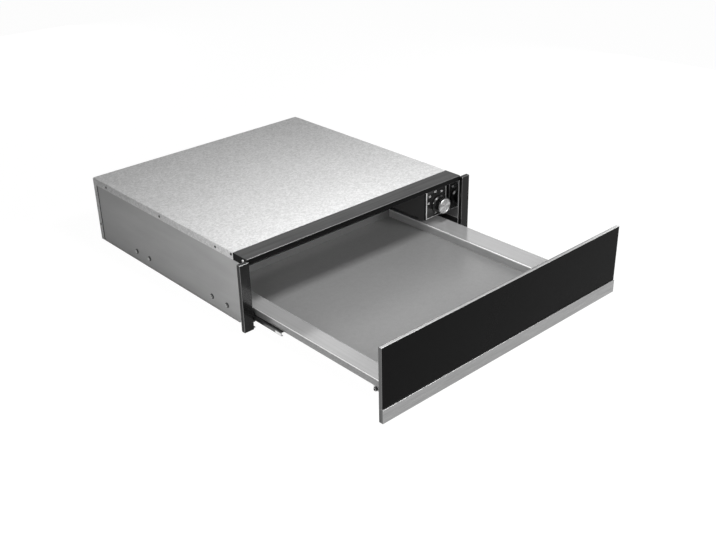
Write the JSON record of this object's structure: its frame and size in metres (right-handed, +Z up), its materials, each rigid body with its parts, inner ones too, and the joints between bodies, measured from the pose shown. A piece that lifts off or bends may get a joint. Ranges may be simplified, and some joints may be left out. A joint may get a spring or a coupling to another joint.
{
  "type": "built-in warming drawer",
  "caption": "Low built-in warming drawer: steel casing with heated cavity, pull-out tray on telescopic runners, black glass front with a metal strip, rotary thermostat.",
  "frame": {"origin": "middle of the casing's flat underside, on the base pan", "axes": "+X to the right seen from the front, +Y towards the back, +Z up; the drawer opens along -Y"},
  "size_m": [0.594, 0.9062, 0.14],
  "materials": {
    "galvanised": "zinc spangle, satin",
    "steel": "satin stainless",
    "satin_plate": "fine satin, grey",
    "dark_metal": "dark semi-gloss",
    "bar_grey": "anthracite, matt",
    "gloss_black": "glossy black",
    "black_glass": "black enamelled glass",
    "black_plastic": "matt black",
    "aluminium": "brushed",
    "rubber": "matt",
    "ceramic": "matt cream",
    "loom": "woven sleeve"
  },
  "bodies": {
    "casing": {"base_pan": "galvanised", "back_panel": "galvanised", "top_cover": "galvanised", "side_panel_left": "galvanised", "side_panel_right": "galvanised", "mount_flange_left": "galvanised", "mount_flange_right": "galvanised", "top_trim_bar": "bar_grey", "side_trim_left": "gloss_black", "side_trim_right": "gloss_black", "runner_channel_left": "steel", "runner_channel_right": "steel", "runner_cap_left": "black_plastic", "runner_cap_right": "black_plastic", "runner_screw_left_1": "steel", "runner_screw_left_2": "steel", "runner_screw_left_3": "steel", "runner_screw_left_4": "steel", "runner_screw_right_1": "steel", "runner_screw_right_2": "steel", "runner_screw_right_3": "steel", "runner_screw_right_4": "steel", "control_box": "dark_metal", "control_fascia": "gloss_black", "thermostat_body": "ceramic", "heater_housing": "galvanised", "fan_guard": "steel", "heater_element": "dark_metal", "fan_motor": "dark_metal", "thermal_cutout": "ceramic", "latch_body": "black_plastic", "cable_gland": "black_plastic", "terminal_block": "ceramic", "wiring_loom": "loom"},
    "drawer": {"drawer_tray": "steel", "base_plate": "satin_plate", "front_frame": "aluminium", "front_glass": "black_glass", "front_strip": "aluminium", "panel_liner": "steel", "drawer_rail_left": "steel", "drawer_rail_right": "steel", "front_bracket_left": "steel", "front_bracket_right": "steel", "bracket_bolt_left": "steel", "bracket_bolt_right": "steel", "bumper_left": "rubber", "bumper_right": "rubber"},
    "slide_left": {"runner_slide_left": "steel"},
    "slide_right": {"runner_slide_right": "steel"},
    "knob": {"control_knob": "black_plastic", "knob_cap": "aluminium"},
    "fan": {"fan_rotor": "steel"},
    "latch": {"latch_plunger": "steel"}
  },
  "joints": [
    {"name": "drawer_travel", "type": "slide", "parent": "casing", "child": "drawer", "axis": [0, -1, 0], "range_m": [-0.346, 0]},
    {"name": "slide_left_travel", "type": "slide", "parent": "casing", "child": "slide_left", "axis": [0, -1, 0], "range_m": [-0.173, 0]},
    {"name": "slide_right_travel", "type": "slide", "parent": "casing", "child": "slide_right", "axis": [0, -1, 0], "range_m": [-0.173, 0]},
    {"name": "thermostat_turn", "type": "hinge", "parent": "casing", "child": "knob", "pos_m": [0.24, -0.24, 0.077], "axis": [0, 1, 0], "range_deg": [0, 270]},
    {"name": "fan_spin", "type": "hinge", "parent": "casing", "child": "fan", "pos_m": [-0.035, 0.22, 0.089], "axis": [0, 1, 0], "continuous": true},
    {"name": "latch_press", "type": "slide", "parent": "casing", "child": "latch", "axis": [0, 1, 0], "range_m": [0, 0.008], "stiffness_N_per_m": 300}
  ],
  "couplings": [
    {"joint": "slide_left_travel", "follows": "drawer_travel", "ratio": 0.5},
    {"joint": "slide_right_travel", "follows": "drawer_travel", "ratio": 0.5}
  ]
}
